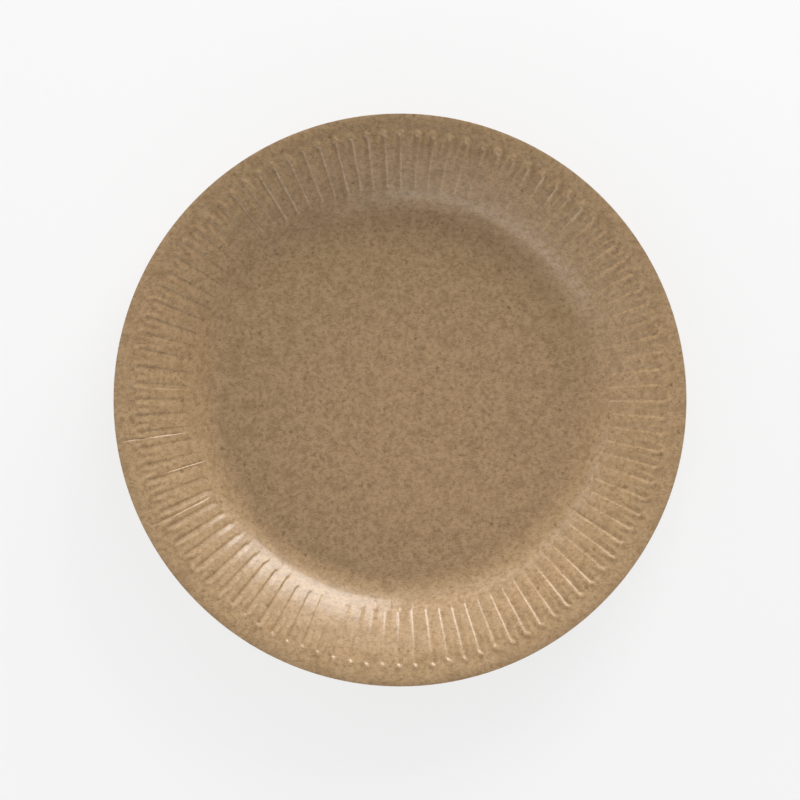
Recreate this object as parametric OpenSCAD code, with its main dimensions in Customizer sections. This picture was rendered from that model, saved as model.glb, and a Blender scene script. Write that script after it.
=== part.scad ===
// Round paper plate, pressed from one sheet of kraft board.
// The plate stands on its flat well at z = 0 and the cut edge of the rim is its top.

/* [Plate] */
// Diameter over the cut edge of the rim
plate_d = 230; // [200:1:260]
// Height from the table to the cut edge
plate_h = 20; // [17:0.5:22]
// Thickness of the board
board_t = 0.5; // [0.3:0.05:0.7]

/* [Rim section] */
// Width of the rim in plan, from the flat well to the cut edge
rim_w = 44; // [40:0.5:50]
// Radius of the bend between the well and the wall
bend_r = 18; // [12:0.5:21]
// Slope of the lip at the cut edge, in degrees
lip_slope = 12; // [6:1:16]

/* [Flutes] */
// Number of flutes round the rim
flutes = 100; // [72:4:108]
// Plain lip outside the flutes
lip_w = 6.1; // [4:0.1:9]
// Length of the fluted band in plan
flute_l = 24.4; // [18:0.2:26]
// Depth of a groove below the plain wall, at its outer end
groove_depth = 0.32; // [0.1:0.02:0.6]
// Height of a ridge above the plain wall, at its outer end
ridge_rise = 0.28; // [0.1:0.02:0.5]
// Share of this depth and height that a flute has at its inner end
inner_share = 0.4; // [0.2:0.05:1]
// Share of the pitch taken by the flat of a groove
groove_share = 0.22; // [0.16:0.02:0.3]
// Share of the pitch taken by the flat of a ridge
ridge_share = 0.18; // [0.1:0.02:0.26]
// Share of the pitch taken by the steeper flank of a groove
steep_share = 0.24; // [0.2:0.01:0.32]
// Length over which a groove runs out at each of its ends
run_out = 1.8; // [1.2:0.1:3]
// Width of the arch that closes a groove towards the lip
arch_w = 1.7; // [1:0.1:2.4]
// How far the lip reaches in between two arches
scallop = 3; // [0.5:0.1:4]

/* [Hidden] */
kraft = [0.61, 0.5, 0.38];
half_t = board_t / 2;
well_r = plate_d / 2 - rim_w;
// cut edge of the middle of the board, set so that the lower corner of the edge keeps to plate_d
edge_r = plate_d / 2 - half_t * sin(lip_slope);
span = edge_r - well_r;
// rise of the middle of the board from the well to the cut edge
rise = plate_h - half_t * (1 + cos(lip_slope));
flute_out = plate_d / 2 - lip_w;
flute_in = flute_out - flute_l;
pitch = 360 / flutes;
// plan width of one pitch halfway along the flutes
pitch_w = 2 * PI * (flute_in + flute_out) / 2 / flutes;
flank_angle = atan((groove_depth + ridge_rise) / (steep_share * pitch_w));
// sideways step, in pitches, that keeps a flank as thick as the rest of the board
flank_step = half_t * tan(flank_angle / 2) / pitch_w;
// share of the depth and height of a flute halfway along it
mid_share = (1 + inner_share) / 2;
// steps of the halving search for the wall's slope
search_steps = 30;

// Section of the rim: a hollow bend up from the well, then a crown that flattens towards the lip.
function crown_r(slope) = (span - bend_r * sin(slope)) / (sin(slope) - sin(lip_slope));
function rise_at(slope) =
    bend_r * (1 - cos(slope)) + crown_r(slope) * (cos(lip_slope) - cos(slope));
function wall_slope(low, high, left) =
    let (middle = (low + high) / 2)
    left == 0 ? middle
    : rise_at(middle) < rise ? wall_slope(middle, high, left - 1)
    : wall_slope(low, middle, left - 1);

steepest = wall_slope(lip_slope + 4, 75, search_steps);
bend_end = well_r + bend_r * sin(steepest);
crown = crown_r(steepest);
crown_x = edge_r + crown * sin(lip_slope);

function slope_at(r) =
    r <= well_r ? 0
    : r < bend_end ? asin((r - well_r) / bend_r)
    : asin((crown_x - r) / crown);
function height_at(r) =
    r < bend_end ? half_t + bend_r * (1 - cos(slope_at(r)))
    : half_t + rise - crown * (cos(lip_slope) - cos(slope_at(r)));

// Columns of points across one flute, as shares of the pitch from the middle of its groove:
// the foot and the top of the steep flank, then of the easy one.
groove_left = -groove_share / 2;
groove_right = groove_share / 2;
ridge_left = groove_left - steep_share;
ridge_right = ridge_left + 1 - ridge_share;
plain = [0];
fluted = [ridge_left, groove_left, groove_right, ridge_right];

// Rings of points from the well to the cut edge. Each one holds its columns, then the radius and
// the offset from the plain wall along its grooves, then the same two along its ridges.
bend_step = (flute_in - well_r) / 4;
groove_in = flute_in + run_out;
arch_top = flute_out - arch_w;
groove_out = arch_top - run_out;
groove_mid = (groove_in + groove_out) / 2;
rings = [
    [plain, well_r, 0, well_r, 0],
    [plain, well_r + bend_step, 0, well_r, 0],
    [plain, well_r + 2 * bend_step, 0, well_r, 0],
    [plain, well_r + 3 * bend_step, 0, well_r, 0],
    [fluted, flute_in, 0, flute_in, 0],
    [fluted, groove_in, -groove_depth * inner_share, groove_in, ridge_rise * inner_share],
    [fluted, groove_mid, -groove_depth * mid_share, groove_mid, ridge_rise * mid_share],
    [fluted, groove_out, -groove_depth, groove_out - scallop, ridge_rise],
    [fluted, arch_top, ridge_rise, arch_top - scallop, ridge_rise],
    [fluted, flute_out, 0, flute_out - scallop, 0],
    [plain, edge_r, 0, edge_r, 0]
];
last = len(rings) - 1;

function columns(k) = len(rings[k][0]);
function on_ridge(k, i) = columns(k) > 1 && (i == 0 || i == columns(k) - 1);
function on_steep(k, i) = i < columns(k) / 2;

// One point of the upper face (side = 1) or of the lower one (side = -1).
function point(k, flute, i, side) =
    let (
        ring = rings[k],
        r = on_ridge(k, i) ? ring[3] : ring[1],
        off = (on_ridge(k, i) ? ring[4] : ring[2]) + side * half_t,
        step = columns(k) == 1 ? 0 : side * (on_steep(k, i) ? flank_step : -flank_step),
        turn = pitch * (flute + ring[0][i] + step),
        slope = slope_at(r),
        reach = r - off * sin(slope)
    )
    [reach * cos(turn), reach * sin(turn), height_at(r) + off * cos(slope)];
function ring_points(k, side) = [
    for (flute = [0:flutes - 1])
    for (i = [0:columns(k) - 1])
    point(k, flute, i, side)
];

// Number of points in the rings before ring k, and the number of a point on one face.
function before(k) = k == 0 ? 0 : before(k - 1) + flutes * columns(k - 1);
face_points = before(last + 1);
starts = [for (k = [0:last]) before(k)];
function index(k, flute, i) = starts[k] + (flute * columns(k) + i) % (flutes * columns(k));
function share(k, i) = rings[k][0][i % columns(k)] + floor(i / columns(k));

// Triangles of one pitch between ring k and the next, always closing the nearer pair first.
function band(k, flute, i, j) =
    let (
        inner_left = i < columns(k),
        outer_left = j < columns(k + 1),
        inner_first = inner_left && (!outer_left || share(k, i + 1) <= share(k + 1, j + 1))
    )
    !inner_left && !outer_left ? []
    : inner_first ? concat(
        [[index(k, flute, i), index(k, flute, i + 1), index(k + 1, flute, j)]],
        band(k, flute, i + 1, j)
    )
    : concat(
        [[index(k, flute, i), index(k + 1, flute, j + 1), index(k + 1, flute, j)]],
        band(k, flute, i, j + 1)
    );
upper_faces = [
    for (k = [0:last - 1])
    for (flute = [0:flutes - 1])
    each band(k, flute, 0, 0)
];
lower_faces = [for (f = upper_faces) [for (i = [2, 1, 0]) f[i] + face_points]];

// Flats of the well on the upper and the lower face, which the plate rests on.
well_top = [for (flute = [flutes - 1:-1:0]) index(0, flute, 0)];
well_bottom = [for (flute = [0:flutes - 1]) index(0, flute, 0) + face_points];

// Strip of squares that closes the cut edge between the two faces.
cut_edge = [
    for (flute = [0:flutes - 1])
    let (
        a = index(last, flute, 0),
        b = index(last, flute + 1, 0)
    )
    [a, b, b + face_points, a + face_points]
];

// The plate, pressed from one sheet: a flat well and a fluted rim.
module plate() {
    color(kraft)
        polyhedron(
            points = [
                for (side = [1, -1])
                for (k = [0:last])
                each ring_points(k, side)
            ],
            faces = concat([well_top, well_bottom], upper_faces, lower_faces, cut_edge),
            convexity = 10
        );
}

plate();
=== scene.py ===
import math

import bpy
import numpy as np
from bpy.props import FloatProperty, FloatVectorProperty, IntProperty, PointerProperty
from bpy.types import Operator, Panel, PropertyGroup
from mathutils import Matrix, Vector
from mathutils.geometry import delaunay_2d_cdt


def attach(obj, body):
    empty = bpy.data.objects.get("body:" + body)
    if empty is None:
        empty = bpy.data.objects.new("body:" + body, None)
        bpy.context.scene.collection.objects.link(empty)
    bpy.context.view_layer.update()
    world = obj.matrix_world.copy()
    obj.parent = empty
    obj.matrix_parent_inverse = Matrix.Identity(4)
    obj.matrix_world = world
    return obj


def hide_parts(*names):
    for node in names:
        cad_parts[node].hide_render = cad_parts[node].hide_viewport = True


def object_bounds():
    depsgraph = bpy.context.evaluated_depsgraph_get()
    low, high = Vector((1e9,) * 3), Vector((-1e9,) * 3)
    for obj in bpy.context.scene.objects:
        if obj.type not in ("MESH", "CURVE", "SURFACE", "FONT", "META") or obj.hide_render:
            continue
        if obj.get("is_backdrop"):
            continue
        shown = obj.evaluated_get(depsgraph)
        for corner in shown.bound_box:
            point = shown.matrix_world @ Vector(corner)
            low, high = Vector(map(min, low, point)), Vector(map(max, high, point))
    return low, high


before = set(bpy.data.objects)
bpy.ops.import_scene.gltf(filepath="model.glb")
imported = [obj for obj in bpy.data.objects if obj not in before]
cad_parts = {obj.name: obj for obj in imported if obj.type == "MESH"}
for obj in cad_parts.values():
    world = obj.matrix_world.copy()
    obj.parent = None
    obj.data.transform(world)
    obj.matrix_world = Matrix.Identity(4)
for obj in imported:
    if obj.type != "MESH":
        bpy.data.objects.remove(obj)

bl_info = {
    "name": "Paper plate",
    "version": (1, 0, 0),
    "blender": (4, 5, 0),
    "location": "3D View > Sidebar > Paper plate",
    "description": "Presses a kraft paper plate over its packed solid and sets it on a pale floor",
    "category": "Add Mesh",
}

CAD_LOW, CAD_HIGH = (Vector(corner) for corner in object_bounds())
MM = 0.001
FULL_TURN = 2 * math.pi
TINY = 1e-9
SEED = 23


def length(name, description, default):
    """A length in metres for the sidebar."""
    return FloatProperty(
        name=name, description=description, default=default, min=0, unit="LENGTH", precision=5
    )


def share(name, description, default):
    """A plain share between nought and one for the sidebar."""
    return FloatProperty(
        name=name, description=description, default=default, min=0, max=1, subtype="FACTOR"
    )


def angle(name, description, degrees):
    """An angle for the sidebar, given in degrees."""
    return FloatProperty(
        name=name, description=description, default=math.radians(degrees), unit="ROTATION"
    )


def colour(name, description, default):
    """A linear colour for the sidebar."""
    return FloatVectorProperty(
        name=name, description=description, default=default, size=3, min=0, max=1, subtype="COLOR"
    )


def power(name, description, default):
    """The power of a lamp in watts for the sidebar."""
    return FloatProperty(name=name, description=description, default=default, min=0, unit="POWER")


class PlateSizes(PropertyGroup):
    """Sizes of the pressed plate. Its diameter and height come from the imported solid."""

    diameter: length("Diameter", "Diameter over the cut edge", CAD_HIGH.x - CAD_LOW.x)
    height: length("Height", "Height from the table to the cut edge", CAD_HIGH.z - CAD_LOW.z)
    board: length("Board", "Thickness of the board", 0.5 * MM)
    rim_width: length("Rim width", "Width of the rim from the flat well to the cut edge", 44 * MM)
    bend_radius: length("Bend radius", "Radius of the bend between the well and the wall", 18 * MM)
    lip_slope: angle("Lip slope", "Slope of the lip at the cut edge", 12)
    flutes: IntProperty(name="Flutes", description="Number of flutes round the rim", default=100, min=12)
    lip_width: length("Lip width", "Plain lip outside the flutes", 5.4 * MM)
    flute_length: length("Flute length", "Length of the fluted band in plan", 25.1 * MM)
    groove_depth: length("Groove depth", "Depth of a groove below the plain wall", 0.24 * MM)
    ridge_rise: length("Ridge rise", "Height of a ridge over the plain wall at its outer end", 0.36 * MM)
    groove_share: share("Groove share", "Share of the pitch taken by the floor of a groove", 0.05)
    ridge_share: share("Ridge share", "Share of the pitch taken by the top of a ridge", 0.42)
    steep_share: share("Steep share", "Share of the pitch taken by the steeper flank", 0.15)
    nose: length("Nose", "Length of the rounded inner end of a groove", 1.6 * MM)
    scallop: length("Scallop", "How far the lip reaches in between two arches", 4.0 * MM)
    lip_droop: angle("Lip droop", "How far the lip turns down at the front", 10)
    unevenness: share("Unevenness", "How much one flute differs from the next", 0.14)
    crease_depth: length("Crease depth", "Depth of the deepest score crease in the wall", 0.20 * MM)


class BoardLooks(PropertyGroup):
    """Colours and gloss of the coated kraft board."""

    kraft: colour("Kraft", "Colour of the board", (0.430, 0.285, 0.154))
    dark_fibre: colour("Dark fibre", "Colour of the dark fibres in the board", (0.205, 0.125, 0.060))
    pale_fibre: colour("Pale fibre", "Colour of the pale fibres in the board", (0.520, 0.370, 0.215))
    fleck: colour("Fleck", "Colour of the dark flecks of bark in the board", (0.150, 0.085, 0.036))
    roughness: share("Roughness", "Roughness of the coated face", 0.42)
    coat: share("Coat", "Weight of the satin coat", 0.54)


class StageLooks(PropertyGroup):
    """Floor, lamps and camera."""

    floor: colour("Floor", "Colour of the floor", (0.88, 0.88, 0.88))
    key: power("Key lamp", "Power of the low lamp behind the plate on the right", 12.4)
    high_key: power("High key lamp", "Power of the lamp over the key lamp", 9.4)
    upper_back: power("Upper back lamp", "Power of the wide lamp high behind the plate", 2.8)
    back: power("Back lamp", "Power of the long low lamp behind the plate on the left", 11.0)
    front: power("Front lamp", "Power of the wide lamp in front on the left", 5.2)
    low_front: power("Low front lamp", "Power of the low lamp in front on the left", 5.7)
    side: power("Side lamp", "Power of the wide lamp in front on the right", 2.2)
    top: power("Top lamp", "Power of the wide lamp over the plate", 2.2)
    ambient: FloatProperty(
        name="Ambient", description="Strength of the light all round", default=0.03, min=0
    )
    frame_width: length("Frame width", "Width that the picture takes in", 321 * MM)


def smooth_step(value, start, end):
    """Rises from nought at start to one at end, level at both."""
    t = np.clip((value - start) / (end - start), 0, 1)
    return t * t * t * (t * (6 * t - 15) + 10)


def eased_ramp(value, start, end, ease):
    """Rises straight from nought at start to one at end, rounded over a share of its length at both."""
    t = np.clip((value - start) / (end - start), 0, 1)
    rounded = 2 * ease * (1 - ease)
    straight = (t - ease / 2) / (1 - ease)
    rising = np.where(t < ease, t * t / rounded, straight)
    return np.where(t > 1 - ease, 1 - (1 - t) ** 2 / rounded, rising)


def blend_between(low, high, weight):
    """Goes from low at a weight of nought to high at a weight of one."""
    return low + (high - low) * weight


def turn_between(turn, middle):
    """Signed angle from the middle to a turn, at most half a turn either way."""
    return (turn - middle + math.pi) % FULL_TURN - math.pi


class RimSection:
    """Plain section from the middle to the cut edge: a flat well, a hollow bend and a crown."""

    STEPS = 4600
    SEARCH_STEPS = 40
    # range of the search for the wall's slope, in radians: least step over the lip's slope, and the most
    LEAST_OVER_LIP = 0.07
    STEEPEST = 1.3
    EDGE_INSET = 0.05 * MM
    # steeper ring round the arches: by how much, and where it starts, peaks and ends from the lip's foot
    RING_SLOPE = math.radians(9)
    RING_START = -2 * MM
    RING_PEAK = 1 * MM
    RING_END = 3.4 * MM
    # turn-down of the cut edge, and the width that it takes
    EDGE_TURN = math.radians(8)
    EDGE_WIDTH = 1.6 * MM

    def __init__(self, sizes):
        half = sizes.board / 2
        lip = sizes.lip_slope
        self.well_r = sizes.diameter / 2 - sizes.rim_width
        self.edge_r = sizes.diameter / 2 - self.EDGE_INSET
        span = sizes.diameter / 2 - half * math.sin(lip) - self.well_r
        rise = sizes.height - half * (1 + math.cos(lip))
        bend = sizes.bend_radius

        def crown_radius(slope):
            return (span - bend * math.sin(slope)) / (math.sin(slope) - math.sin(lip))

        def rise_at(slope):
            return bend * (1 - math.cos(slope)) + crown_radius(slope) * (math.cos(lip) - math.cos(slope))

        low, high = lip + self.LEAST_OVER_LIP, self.STEEPEST
        for _ in range(self.SEARCH_STEPS):
            middle = (low + high) / 2
            low, high = (middle, high) if rise_at(middle) < rise else (low, middle)
        crown = crown_radius(low)
        crown_x = self.well_r + span + crown * math.sin(lip)
        bend_end = self.well_r + bend * math.sin(low)
        self.radius = np.linspace(0, self.edge_r + MM, self.STEPS)
        hollow = np.arcsin(np.clip((self.radius - self.well_r) / bend, 0, math.sin(low)))
        domed = np.arcsin(np.clip((crown_x - self.radius) / crown, -1, 1))
        self.slope = np.where(self.radius < bend_end, hollow, domed)
        self.round_the_lip(sizes)
        steps = np.diff(self.radius) * np.tan((self.slope[1:] + self.slope[:-1]) / 2)
        self.height = half + np.concatenate(([0], np.cumsum(steps)))

    def round_the_lip(self, sizes):
        """The wall keeps its slope just outside the flutes, and the cut edge turns down."""
        foot = sizes.diameter / 2 - sizes.lip_width
        ring = smooth_step(self.radius, foot + self.RING_START, foot + self.RING_PEAK)
        ring = ring - smooth_step(self.radius, foot + self.RING_PEAK, foot + self.RING_END)
        turn = smooth_step(self.radius, self.edge_r - self.EDGE_WIDTH, self.edge_r)
        self.slope = self.slope + self.RING_SLOPE * ring - self.EDGE_TURN * turn

    def slope_at(self, r):
        return np.interp(r, self.radius, self.slope)

    def height_at(self, r):
        return np.interp(r, self.radius, self.height)


# slow waves of the rim: height in millimetres and number round the plate
RIM_WAVES = ((0.10, 2), (0.07, 3), (0.06, 5), (0.04, 9))


class PressedFlutes:
    """Height of the press marks over the plain section: flutes, their arches and the score creases."""

    # how far flutes differ, for an unevenness of one: sideways in pitches, and at their ends
    SIDEWAYS = 0.2
    INNER_SHIFT = 3 * MM
    OUTER_SHIFT = 2 * MM
    # share of the groove's depth that is left at its outer end, and the power by which a ridge grows
    OUTER_SHARE = 0.80
    GROWTH = 3
    # share of a flank that is rounded at its foot and at its top
    FLANK_EASE = 0.2
    # where round the end of a groove its steep flank goes over into the easy one
    SIDE_START = -0.3
    SIDE_END = 1
    # towards the arch a groove narrows on its easy side, from so far in, and opens on its steep side
    NARROWING = 0.15
    NARROWING_REACH = 9.75 * MM
    WIDENING = 0.30
    # share of the scallop taken by the end wall of a groove
    END_SHARE = 0.45
    # an arch's half width in pitches, the share of it that falls to the lip and how far that is rounded
    ARCH_HALF = 0.40
    ARCH_FALL = 0.45
    ARCH_EASE = 0.3
    # the pointed notch between two arches: its length, and how fast it narrows
    NOTCH_REACH = 6.5 * MM
    NOTCH_TAPER = 0.70
    # where the press bit deeper or lighter: middle and reach in degrees, change of grooves, of arches
    PRESS = ((80, 36, 0.05, 1.30), (158, 32, -0.42, -0.34), (8, 30, -0.25, -0.25))

    # score creases: their number, the deep ones, the first one's place and their scatter in degrees
    CREASES = 36
    DEEP_CREASES = (0, 18, 19, 20, 32)
    FIRST_CREASE = 7.5
    CREASE_SCATTER = 0.35
    # width of a crease's easy and steep side
    CREASE_EASY = math.radians(0.60)
    CREASE_STEEP = math.radians(0.20)
    # spread of the other creases' depth, as a share of the deepest before it is squared
    CREASE_SHARE = (0.1, 0.7)
    # spread of the radius, in millimetres, where a crease starts and where it ends, and its fade at both
    CREASE_START = (77, 92)
    CREASE_END = (98, 116)
    CREASE_FADE = 3 * MM

    # columns of the mesh: their number on a flank, their places on a ridge and the least angle between two
    FLANK_COLUMNS = 6
    RIDGE_COLUMNS = (0.2, 0.4, 0.6, 0.8)
    LEAST_COLUMN = math.radians(0.03)

    def __init__(self, sizes):
        self.sizes = sizes
        self.pitch = FULL_TURN / sizes.flutes
        self.flute_out = sizes.diameter / 2 - sizes.lip_width
        self.flute_in = self.flute_out - sizes.flute_length
        self.spring = self.flute_out - sizes.scallop
        self.foot = sizes.groove_share / 2
        self.steep_top = self.foot + sizes.steep_share
        self.easy_top = 1 - sizes.ridge_share - self.steep_top
        draw = np.random.default_rng(SEED)
        uneven = sizes.unevenness
        self.depth = 1 + uneven * draw.normal(0, 1, sizes.flutes)
        self.sideways = self.SIDEWAYS * uneven * draw.normal(0, 1, sizes.flutes)
        self.inner_shift = self.INNER_SHIFT * uneven * draw.normal(0, 1, sizes.flutes)
        self.outer_shift = self.OUTER_SHIFT * uneven * draw.normal(0, 1, sizes.flutes)
        evenly = self.FIRST_CREASE + 360 / self.CREASES * np.arange(self.CREASES)
        self.crease_angle = np.radians(evenly + draw.normal(0, self.CREASE_SCATTER, self.CREASES))
        self.crease_depth = sizes.crease_depth * draw.uniform(*self.CREASE_SHARE, self.CREASES) ** 2
        self.crease_depth[list(self.DEEP_CREASES)] = sizes.crease_depth
        self.crease_start = draw.uniform(*self.CREASE_START, self.CREASES) * MM
        self.crease_end = draw.uniform(*self.CREASE_END, self.CREASES) * MM
        self.wave_phase = draw.uniform(0, FULL_TURN, len(RIM_WAVES))

    def height(self, r, turn):
        """Offset along the plain section's normal. Here p is the place across a flute, in pitches."""
        sizes = self.sizes
        position = turn / self.pitch
        flute = np.round(position).astype(int)
        p = position - flute
        flute = flute % sizes.flutes
        p = p + self.sideways[flute] * np.cos(math.pi * p) ** 2
        along = np.clip((r - self.flute_in) / (self.spring - self.flute_in), 0, 1)
        deeper, higher = self.bite(turn)
        sunk = deeper * sizes.groove_depth * self.depth[flute] * blend_between(1, self.OUTER_SHARE, along)
        raised = higher * sizes.ridge_rise * along ** self.GROWTH * (1 - self.outside(r, p))
        groove = self.groove(r, p, self.inner_shift[flute], self.outer_shift[flute])
        return blend_between(raised, -sunk, groove) - self.crease(r, turn)

    def bite(self, turn):
        """How deep the press bit here, against its usual depth: grooves, then arches."""
        grooves, arches = 1.0, 1.0
        for middle, reach, deeper, higher in self.PRESS:
            away = turn_between(turn, math.radians(middle))
            near = np.exp(-((away / math.radians(reach)) ** 2))
            grooves = grooves + deeper * near
            arches = arches + higher * near
        return grooves, arches

    def groove(self, r, p, inner_shift, outer_shift):
        """One on the floor of a groove and nought on the ridges, with a rounded wall at both ends."""
        sizes = self.sizes
        closing = smooth_step(r, self.spring - self.NARROWING_REACH, self.spring)
        opening = smooth_step(r, self.spring - sizes.scallop, self.spring)
        u = np.where(p > 0, p * (1 + self.NARROWING * closing), p * (1 - self.WIDENING * opening))
        inner = (self.flute_in + inner_shift + sizes.nose - r) / sizes.nose
        outer = (r - outer_shift - self.spring) / (self.END_SHARE * sizes.scallop)
        past = self.steep_top * np.maximum(np.maximum(inner, outer), 0)
        away = np.hypot(u, past)
        side = u / np.maximum(away, TINY)
        steep = eased_ramp(away, self.foot, self.steep_top, self.FLANK_EASE)
        easy = eased_ramp(away, self.foot, self.easy_top, self.FLANK_EASE)
        return 1 - blend_between(steep, easy, smooth_step(side, self.SIDE_START, self.SIDE_END))

    def outside(self, r, p):
        """Nought on a flute and one on the lip, with a round arch and a pointed notch beside it."""
        past = np.maximum((r - self.spring) / self.sizes.scallop, 0)
        inward = np.minimum((r - self.spring) / self.NOTCH_REACH, 0)
        away = np.hypot(p / self.ARCH_HALF, past) + self.NOTCH_TAPER * inward
        return eased_ramp(away, 1 - self.ARCH_FALL, 1, self.ARCH_EASE)

    def crease(self, r, turn):
        """Depth of the score creases."""
        total = np.zeros(np.broadcast(r, turn).shape)
        for k in range(self.CREASES):
            start, end = self.crease_start[k], self.crease_end[k]
            away = turn_between(turn, self.crease_angle[k])
            valley = np.clip(1 - np.maximum(-away / self.CREASE_EASY, away / self.CREASE_STEEP), 0, 1)
            begins = smooth_step(r, start, start + self.CREASE_FADE)
            ends = smooth_step(r, end - self.CREASE_FADE, end)
            total = total + self.crease_depth[k] * valley * begins * (1 - ends)
        return total

    def columns(self):
        """Angles of the mesh's columns: closest on the steep flank and at the creases."""
        steep = -self.foot - np.linspace(0, self.steep_top - self.foot, self.FLANK_COLUMNS)
        easy = self.foot + np.linspace(0, self.easy_top - self.foot, self.FLANK_COLUMNS)
        ridge = self.easy_top + self.sizes.ridge_share * np.array(self.RIDGE_COLUMNS)
        across = np.concatenate((steep, easy, ridge))
        plain = (np.arange(self.sizes.flutes)[:, None] + across[None, :]).ravel() * self.pitch
        marks = np.array([-self.CREASE_EASY, 0, self.CREASE_STEEP])
        near = self.crease_angle[:, None] + marks[None, :]
        halfway = np.array([-self.CREASE_EASY, self.CREASE_STEEP]) / 2
        deep = self.crease_angle[list(self.DEEP_CREASES), None] + halfway[None, :]
        angles = np.sort(np.concatenate((plain, near.ravel(), deep.ravel())) % FULL_TURN)
        apart = np.diff(np.concatenate((angles, angles[:1] + FULL_TURN)))
        return angles[apart > self.LEAST_COLUMN]


class PressedBoard:
    """The board as a sheet of even thickness over the section and its press marks."""

    PROBE = 0.04 * MM
    # the press marks fade in over this width from the well, and the waves start this far out
    MARKS_FADE = 2 * MM
    WAVES_FROM = 4 * MM
    # the lip starts to droop this far inside the ends of the arches, over this share of its width
    DROOP_BEFORE = 1.2 * MM
    DROOP_SHARE = 1 / 3

    def __init__(self, sizes):
        self.sizes = sizes
        self.section = RimSection(sizes)
        self.flutes = PressedFlutes(sizes)

    def middle(self, r, turn):
        """Points of the middle of the board."""
        section = self.section
        slope = section.slope_at(r)
        fade = smooth_step(r, section.well_r, section.well_r + self.MARKS_FADE)
        off = self.flutes.height(r, turn) * fade
        reach = r - off * np.sin(slope)
        wave = sum(
            size * MM * np.sin(lobes * turn + phase)
            for (size, lobes), phase in zip(RIM_WAVES, self.flutes.wave_phase)
        )
        height = section.height_at(r) + off * np.cos(slope)
        height = height + wave * smooth_step(r, section.well_r + self.WAVES_FROM, section.edge_r)
        height = height - self.droop(r, turn)
        return np.stack((reach * np.cos(turn), reach * np.sin(turn), height), axis=-1)

    def droop(self, r, turn):
        """Fall of the lip, which bends down more towards the front of the plate."""
        past = np.maximum(r - self.flutes.flute_out + self.DROOP_BEFORE, 0)
        bend = self.DROOP_SHARE * self.sizes.lip_width
        fall = np.where(past < bend, past * past / (2 * bend), past - bend / 2)
        return fall * np.tan(self.sizes.lip_droop * (1 - np.sin(turn)) / 2)

    def face(self, radii, angles, side):
        """Points of the upper face (side = 1) or the lower one (side = -1)."""
        r = np.asarray(radii)[:, None] + np.zeros(len(angles))
        turn = np.asarray(angles)[None, :] + np.zeros((len(radii), 1))
        step = self.PROBE
        outward = self.middle(r + step, turn) - self.middle(r - step, turn)
        across = self.middle(r, turn + step / r) - self.middle(r, turn - step / r)
        normal = np.cross(outward, across)
        normal /= np.linalg.norm(normal, axis=-1, keepdims=True)
        normal[r <= self.section.well_r + TINY] = (0, 0, 1)
        return self.middle(r, turn) + normal * side * self.sizes.board / 2


def spaced(marks, steps):
    """Radii that go from mark to mark, with a number of steps between each two."""
    runs = [
        np.linspace(here, there, count, endpoint=False)
        for here, there, count in zip(marks, marks[1:], steps)
    ]
    return np.concatenate(runs + [marks[-1:]])


def ring_faces(first, second, count):
    """Squares between two rings of points with the same count."""
    here = np.arange(count)
    there = np.roll(here, -1)
    return np.stack((first + here, second + here, second + there, first + there), axis=1)


# spacing of the points in the flat well, and the two closer rings near its edge: gap and columns to a point
WELL_SPACING = 6 * MM
WELL_RINGS = ((1.2 * MM, 3), (3.2 * MM, 6))
FEWEST_IN_RING = 6
# the triangulation keeps what lies inside the outline, and joins points that are nearer than this
INSIDE_OUTLINE = 1
JOIN_DISTANCE = 1e-7


def disc_points(outer, spacing):
    """Points on even rings inside a disc, which stop one spacing short of its edge."""
    points = [(0.0, 0.0)]
    r = spacing
    while r < outer - spacing:
        count = max(FEWEST_IN_RING, int(round(FULL_TURN * r / spacing)))
        turn = np.arange(count) / count * FULL_TURN + r
        points.extend(zip(r * np.cos(turn), r * np.sin(turn)))
        r += spacing
    return points


def well_faces(ring, height):
    """Points and triangles of the flat well inside its ring of points, and each point's source."""
    outline = [Vector((x, y)) for x, y, _ in ring]
    edge = [(i, (i + 1) % len(outline)) for i in range(len(outline))]
    outer = float(np.hypot(ring[0][0], ring[0][1]))
    near = []
    for gap, columns in WELL_RINGS:
        count = len(outline) // columns
        r = outer - gap
        near += [Vector((r * math.cos(a), r * math.sin(a))) for a in np.arange(count) / count * FULL_TURN]
    inner = [Vector(point) for point in disc_points(outer, WELL_SPACING)]
    places, _, triangles, sources, _, _ = delaunay_2d_cdt(
        outline + near + inner, edge, [], INSIDE_OUTLINE, JOIN_DISTANCE
    )
    return [(place.x, place.y, height) for place in places], triangles, sources


# rows of the mesh: where they are closer, past the ends of a groove and of an arch and at the cut edge
NOSE_BEFORE = 0.6 * MM
NOSE_AFTER = 0.8 * MM
ARCH_BEFORE = 2 * MM
ARCH_AFTER = 0.3 * MM
EDGE_BEFORE = 1.4 * MM
UPPER_STEPS = (6, 8, 6, 14, 3, 2)
LOWER_STEPS = (3, 2, 2, 4, 1)


def mesh_rows(board):
    """Radii of the mesh's rows on the upper and on the lower face."""
    flutes = board.flutes
    marks = [
        board.section.well_r,
        flutes.flute_in - NOSE_BEFORE,
        flutes.flute_in + board.sizes.nose + NOSE_AFTER,
        flutes.spring - ARCH_BEFORE,
        flutes.flute_out + ARCH_AFTER,
    ]
    edge = board.section.edge_r
    return spaced(marks + [edge - EDGE_BEFORE, edge], UPPER_STEPS), spaced(marks + [edge], LOWER_STEPS)


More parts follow.
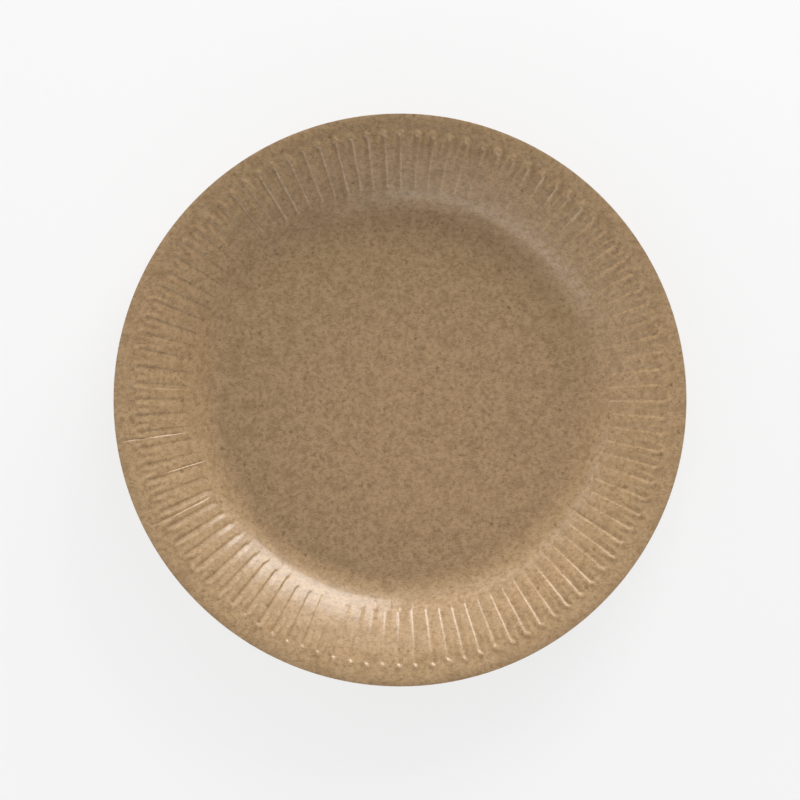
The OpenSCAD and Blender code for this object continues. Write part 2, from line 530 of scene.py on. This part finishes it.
def build_plate_mesh(board):
    """One closed mesh of the whole plate."""
    angles = board.flutes.columns()
    count = len(angles)
    upper_rows, lower_rows = mesh_rows(board)
    upper = board.face(upper_rows, angles, 1)
    lower = board.face(lower_rows, angles, -1)
    points = np.concatenate((upper.reshape(-1, 3), lower.reshape(-1, 3)))
    below = len(upper_rows) * count
    rings = []
    for k in range(len(upper_rows) - 1):
        rings.append(ring_faces(k * count, (k + 1) * count, count))
    for k in range(len(lower_rows) - 1):
        rings.append(ring_faces(below + (k + 1) * count, below + k * count, count))
    last_upper = below - count
    last_lower = below + (len(lower_rows) - 1) * count
    rings.append(ring_faces(last_upper, last_lower, count))
    faces = [tuple(face) for face in np.concatenate(rings).tolist()]
    points = [tuple(point) for point in points.tolist()]
    close_well(points, faces, 0, count, height=board.sizes.board, upward=True)
    close_well(points, faces, below, count, height=0.0, upward=False)
    mesh = bpy.data.meshes.new("plate_board")
    mesh.from_pydata(points, [], faces)
    mesh.validate()
    mesh.shade_smooth()
    mark_cut_edge(mesh, last_upper, last_lower, count)
    return mesh


def close_well(points, faces, start, count, height, upward):
    """Adds the flat of the well on one face, inside its ring of points."""
    new_points, triangles, sources = well_faces(points[start:start + count], height)
    place = {}
    for index, source in enumerate(sources):
        if source and min(source) < count:
            place[index] = start + min(source)
        else:
            place[index] = len(points)
            points.append(new_points[index])
    for triangle in triangles:
        corners = tuple(place[i] for i in triangle)
        faces.append(corners if upward else corners[::-1])


def mark_cut_edge(mesh, last_upper, last_lower, count):
    """Keeps the two corners of the cut edge sharp."""
    corners = np.zeros(len(mesh.vertices), dtype=int)
    corners[last_upper:last_upper + count] = 1
    corners[last_lower:last_lower + count] = 2
    ends = np.zeros(len(mesh.edges) * 2, dtype=int)
    mesh.edges.foreach_get("vertices", ends)
    ends = corners[ends.reshape(-1, 2)]
    sharp = (ends[:, 0] > 0) & (ends[:, 0] == ends[:, 1])
    mesh.edges.foreach_set("use_edge_sharp", sharp)


class NodeBoard:
    """Adds shader nodes to one material and joins them."""

    def __init__(self, tree):
        self.tree = tree

    def add(self, kind, inputs=None, output=0, **settings):
        """One node with its inputs joined or set; gives one of its outputs."""
        node = self.tree.nodes.new(kind)
        for name, value in settings.items():
            setattr(node, name, value)
        for name, value in (inputs or {}).items():
            socket = node.inputs[name]
            if isinstance(value, bpy.types.NodeSocket):
                self.tree.links.new(value, socket)
            else:
                socket.default_value = value
        return node.outputs[output] if node.outputs else None

    def math(self, operation, first, second):
        return self.add("ShaderNodeMath", {0: first, 1: second}, operation=operation)

    def vector(self, operation, first, second):
        return self.add("ShaderNodeVectorMath", {0: first, 1: second}, operation=operation)

    def noise(self, place, scale, detail, roughness=0.5, output=0):
        inputs = {"Vector": place, "Scale": scale, "Detail": detail, "Roughness": roughness}
        return self.add("ShaderNodeTexNoise", inputs, output)

    def ramp(self, value, start, end, low=0.0, high=1.0):
        """Goes smoothly from low where the value is start to high where it is end."""
        return self.add(
            "ShaderNodeMapRange",
            {"Value": value, "From Min": start, "From Max": end, "To Min": low, "To Max": high},
            interpolation_type="SMOOTHSTEP",
        )

    def cover(self, under, over, mask, amount):
        """Covers one colour with another by an amount of the mask."""
        weight = self.math("MULTIPLY", mask, amount)
        inputs = {0: weight, 6: under, 7: over}
        return self.add("ShaderNodeMix", inputs, 2, data_type="RGBA", clamp_factor=True)


# shift of a layer of fibres for each degree of its direction, so that no two layers are alike
FIBRE_SHIFT = (0.013, 0.007)
# soft edge of a fleck, in cells, and the strength of the faintest one
FLECK_EDGE = (-0.05, 0.10)
FAINTEST_FLECK = 0.35


def fibre_layer(nodes, place, turns, long, wide, start, end):
    """Short fibres lying in the given directions, as a mask."""
    total = None
    for turn in turns:
        laid = nodes.add(
            "ShaderNodeMapping",
            {
                "Vector": place,
                "Location": (FIBRE_SHIFT[0] * turn, FIBRE_SHIFT[1] * turn, 0),
                "Rotation": (0, 0, math.radians(turn)),
                "Scale": (1 / long, 1 / wide, 1 / wide),
            },
        )
        mask = nodes.ramp(nodes.noise(laid, scale=1.0, detail=1.0, roughness=0.4), start, end)
        total = mask if total is None else nodes.math("MAXIMUM", total, mask)
    return total


def fleck_layer(nodes, place, scale, bare_share, largest):
    """Small soft spots of uneven size and strength, one to a cell at most, as a mask."""
    cells = nodes.tree.nodes.new("ShaderNodeTexVoronoi")
    nodes.tree.links.new(place, cells.inputs["Vector"])
    cells.inputs["Scale"].default_value = scale
    chance = nodes.tree.nodes.new("ShaderNodeSeparateColor")
    nodes.tree.links.new(cells.outputs["Color"], chance.inputs["Color"])
    reach = nodes.ramp(chance.outputs["Red"], bare_share, 1.0, 0.0, largest)
    near = nodes.math("SUBTRACT", reach, cells.outputs["Distance"])
    spot = nodes.ramp(near, *FLECK_EDGE)
    strength = nodes.ramp(chance.outputs["Green"], 0.0, 1.0, FAINTEST_FLECK, 1.0)
    return nodes.math("MULTIPLY", spot, strength)


# tone of the board between its clumps of pulp and on them, against its plain colour
LOW_TONE = (0.72, 0.67, 0.60)
HIGH_TONE = (1.12, 1.12, 1.12)
# how far the fibres curl, how far the gloss varies and how far the pale flecks lie from the dark ones
CURL = 2.4 * MM
GLOSS_SPREAD = 0.07
PALE_FLECK_SHIFT = (0.031, 0.017, 0)
# relief of the board against that of a pale fibre: how far dark fibres sink, fuzz and clumps stand up
DARK_SINKS = 0.6
FUZZ_RISES = 1.4
CLUMPS_RISE = 1.6
RELIEF_DEPTH = 0.03 * MM
RELIEF_STRENGTH = 0.35


def toned(base, levels):
    """A colour for a socket, each channel at its own level."""
    return (*(channel * level for channel, level in zip(base, levels)), 1)


def kraft_board(looks):
    """Brown fibre board with pale and dark fibres, flecks of bark and a satin coat."""
    material = bpy.data.materials.new("kraft_board")
    material.use_nodes = True
    tree = material.node_tree
    tree.nodes.clear()
    nodes = NodeBoard(tree)
    place = nodes.add("ShaderNodeTexCoord", output=3)
    drift = nodes.noise(place, scale=420.0, detail=1.0, output=1)
    drift = nodes.vector("SUBTRACT", drift, (0.5, 0.5, 0.5))
    drift = nodes.vector("MULTIPLY", drift, (CURL, CURL, CURL))
    curled = nodes.vector("ADD", place, drift)
    pale = fibre_layer(nodes, curled, (17, 79, 143), 2.4 * MM, 0.34 * MM, start=0.55, end=0.72)
    dark = fibre_layer(nodes, curled, (48, 111, 168), 2.0 * MM, 0.38 * MM, start=0.56, end=0.74)
    clumps = nodes.noise(place, scale=560.0, detail=4.0, roughness=0.66)
    cloud = nodes.noise(place, scale=190.0, detail=3.0, roughness=0.6)
    dark_flecks = fleck_layer(nodes, curled, scale=320.0, bare_share=0.15, largest=0.26)
    beside = nodes.vector("ADD", curled, PALE_FLECK_SHIFT)
    pale_flecks = fleck_layer(nodes, beside, scale=230.0, bare_share=0.55, largest=0.14)

    low = toned(looks.kraft, LOW_TONE)
    high = toned(looks.kraft, HIGH_TONE)
    tone = nodes.cover(low, high, nodes.ramp(clumps, 0.28, 0.60), amount=1.0)
    tone = nodes.cover(tone, low, nodes.ramp(cloud, 0.44, 0.70), amount=0.55)
    tone = nodes.cover(tone, (*looks.pale_fibre, 1), pale, amount=0.36)
    tone = nodes.cover(tone, (*looks.dark_fibre, 1), dark, amount=0.42)
    tone = nodes.cover(tone, (*looks.pale_fibre, 1), pale_flecks, amount=0.45)
    tone = nodes.cover(tone, (*looks.fleck, 1), dark_flecks, amount=0.50)

    relief = nodes.math("SUBTRACT", pale, nodes.math("MULTIPLY", dark, DARK_SINKS))
    fuzz = nodes.noise(place, scale=2600.0, detail=3.0, roughness=0.6)
    relief = nodes.math("ADD", relief, nodes.math("MULTIPLY", fuzz, FUZZ_RISES))
    relief = nodes.math("ADD", relief, nodes.math("MULTIPLY", clumps, CLUMPS_RISE))
    raised = {"Strength": RELIEF_STRENGTH, "Distance": RELIEF_DEPTH, "Height": relief}
    bump = nodes.add("ShaderNodeBump", raised)
    smoothest, roughest = looks.roughness - GLOSS_SPREAD, looks.roughness + GLOSS_SPREAD
    shader = nodes.add(
        "ShaderNodeBsdfPrincipled",
        {
            "Base Color": tone,
            "Roughness": nodes.ramp(clumps, 0.25, 0.75, smoothest, roughest),
            "Normal": bump,
            "Specular IOR Level": 0.15,
            "Coat Weight": looks.coat,
            "Coat Roughness": 0.20,
        },
    )
    nodes.add("ShaderNodeOutputMaterial", {"Surface": shader})
    return material


class PAPERPLATE_OT_press(Operator):
    """Press the fluted plate from one sheet of kraft board, in the place of its solid"""

    bl_idname = "paper_plate.press"
    bl_label = "Press the plate"

    def execute(self, context):
        sizes = context.scene.plate_sizes
        mesh = build_plate_mesh(PressedBoard(sizes))
        mesh.materials.append(kraft_board(context.scene.board_looks))
        plate = bpy.data.objects.new("plate_board", mesh)
        context.scene.collection.objects.link(plate)
        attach(plate, "root")
        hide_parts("plate")
        return {"FINISHED"}


# how white the floor looks in the picture, against how far it keeps the light and shadow on it
FLOOR_WHITENESS = 0.75


def pale_floor(looks):
    """Matt pale floor, even in tone, that keeps the plate's shadow."""
    material = bpy.data.materials.new("pale_floor")
    material.use_nodes = True
    tree = material.node_tree
    tree.nodes.clear()
    nodes = NodeBoard(tree)
    matt = nodes.add("ShaderNodeBsdfDiffuse", {"Color": (*looks.floor, 1), "Roughness": 1.0})
    glow = nodes.add("ShaderNodeEmission", {"Color": (1, 1, 1, 1), "Strength": 1.0})
    path = tree.nodes.new("ShaderNodeLightPath")
    seen = nodes.math("MAXIMUM", path.outputs["Is Camera Ray"], path.outputs["Is Glossy Ray"])
    seen = nodes.math("MAXIMUM", seen, path.outputs["Is Transmission Ray"])
    weight = nodes.math("MULTIPLY", seen, FLOOR_WHITENESS)
    surface = nodes.add("ShaderNodeMixShader", {0: weight, 1: matt, 2: glow})
    nodes.add("ShaderNodeOutputMaterial", {"Surface": surface})
    return material


# how far the lamps stand from the foot of the plate, and the point that they are turned to
LAMP_DISTANCE = 1.2
LAMP_TARGET = Vector((0, 0, 8 * MM))


def soft_lamp(scene, name, watts, azimuth, elevation, width, tall):
    """Wide lamp that shines on the plate, at an azimuth and an elevation in degrees from it."""
    lamp = bpy.data.lights.new(name, "AREA")
    lamp.shape = "RECTANGLE"
    lamp.size = width
    lamp.size_y = tall
    lamp.energy = watts
    stand = bpy.data.objects.new(name, lamp)
    scene.collection.objects.link(stand)
    a, e = math.radians(azimuth), math.radians(elevation)
    toward = Vector((math.cos(a) * math.cos(e), math.sin(a) * math.cos(e), math.sin(e)))
    stand.location = LAMP_DISTANCE * toward
    stand.rotation_euler = (LAMP_TARGET - stand.location).to_track_quat("-Z", "Y").to_euler()


class PAPERPLATE_OT_stage(Operator):
    """Lay the pale floor, hang the lamps and set the camera over the plate"""

    bl_idname = "paper_plate.stage"
    bl_label = "Set the stage"

    FLOOR_HALF = 3.0
    FLOOR_GAP = 0.05 * MM
    CAMERA_HEIGHT = 3.0
    CAMERA_REACH = 20.0
    SENSOR_WIDTH = 36.0
    # each lamp's azimuth and elevation in degrees, then its width and height in metres
    LAMPS = {
        "key": (57, 8, 1.0, 0.25),
        "high_key": (66, 22, 0.84, 0.30),
        "upper_back": (85, 38, 1.2, 0.6),
        "back": (138, 10, 1.7, 0.28),
        "front": (235, 32, 2.4, 1.0),
        "low_front": (240, 13, 1.6, 0.45),
        "side": (300, 32, 1.6, 0.9),
        "top": (0, 90, 1.5, 1.5),
    }

    def execute(self, context):
        scene = context.scene
        looks = scene.stage_looks
        self.lay_floor(scene, looks)
        world = bpy.data.worlds.new("soft_room")
        world.use_nodes = True
        room = world.node_tree.nodes["Background"]
        room.inputs["Color"].default_value = (1, 1, 1, 1)
        room.inputs["Strength"].default_value = looks.ambient
        scene.world = world
        for name, place in self.LAMPS.items():
            soft_lamp(scene, f"{name}_lamp", getattr(looks, name), *place)
        self.set_camera(scene, looks)
        scene.view_settings.view_transform = "Standard"
        return {"FINISHED"}

    def lay_floor(self, scene, looks):
        half, below = self.FLOOR_HALF, -self.FLOOR_GAP
        corners = [(-half, -half, below), (half, -half, below), (half, half, below), (-half, half, below)]
        mesh = bpy.data.meshes.new("floor")
        mesh.from_pydata(corners, [], [(0, 1, 2, 3)])
        mesh.materials.append(pale_floor(looks))
        floor = bpy.data.objects.new("floor", mesh)
        scene.collection.objects.link(floor)
        floor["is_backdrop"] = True

    def set_camera(self, scene, looks):
        over_rim = self.CAMERA_HEIGHT - scene.plate_sizes.height
        lens = bpy.data.cameras.new("camera")
        lens.sensor_width = self.SENSOR_WIDTH
        lens.lens = self.SENSOR_WIDTH * over_rim / looks.frame_width
        lens.clip_end = self.CAMERA_REACH
        camera = bpy.data.objects.new("camera", lens)
        camera.location = (0, 0, self.CAMERA_HEIGHT)
        scene.collection.objects.link(camera)
        scene.camera = camera


class PAPERPLATE_PT_sidebar(Panel):
    """Sizes, colours and steps of the paper plate"""

    bl_idname = "PAPERPLATE_PT_sidebar"
    bl_label = "Paper plate"
    bl_space_type = "VIEW_3D"
    bl_region_type = "UI"
    bl_category = "Paper plate"

    def draw(self, context):
        for group in (context.scene.plate_sizes, context.scene.board_looks, context.scene.stage_looks):
            column = self.layout.column(align=True)
            for name in group.__annotations__:
                column.prop(group, name)
        self.layout.operator(PAPERPLATE_OT_press.bl_idname)
        self.layout.operator(PAPERPLATE_OT_stage.bl_idname)


CLASSES = (
    PlateSizes,
    BoardLooks,
    StageLooks,
    PAPERPLATE_OT_press,
    PAPERPLATE_OT_stage,
    PAPERPLATE_PT_sidebar,
)


def register():
    for cls in CLASSES:
        bpy.utils.register_class(cls)
    bpy.types.Scene.plate_sizes = PointerProperty(type=PlateSizes)
    bpy.types.Scene.board_looks = PointerProperty(type=BoardLooks)
    bpy.types.Scene.stage_looks = PointerProperty(type=StageLooks)


def unregister():
    del bpy.types.Scene.stage_looks
    del bpy.types.Scene.board_looks
    del bpy.types.Scene.plate_sizes
    for cls in reversed(CLASSES):
        bpy.utils.unregister_class(cls)


def main():
    register()
    bpy.ops.paper_plate.press()
    bpy.ops.paper_plate.stage()


if __name__ == "__main__":
    main()
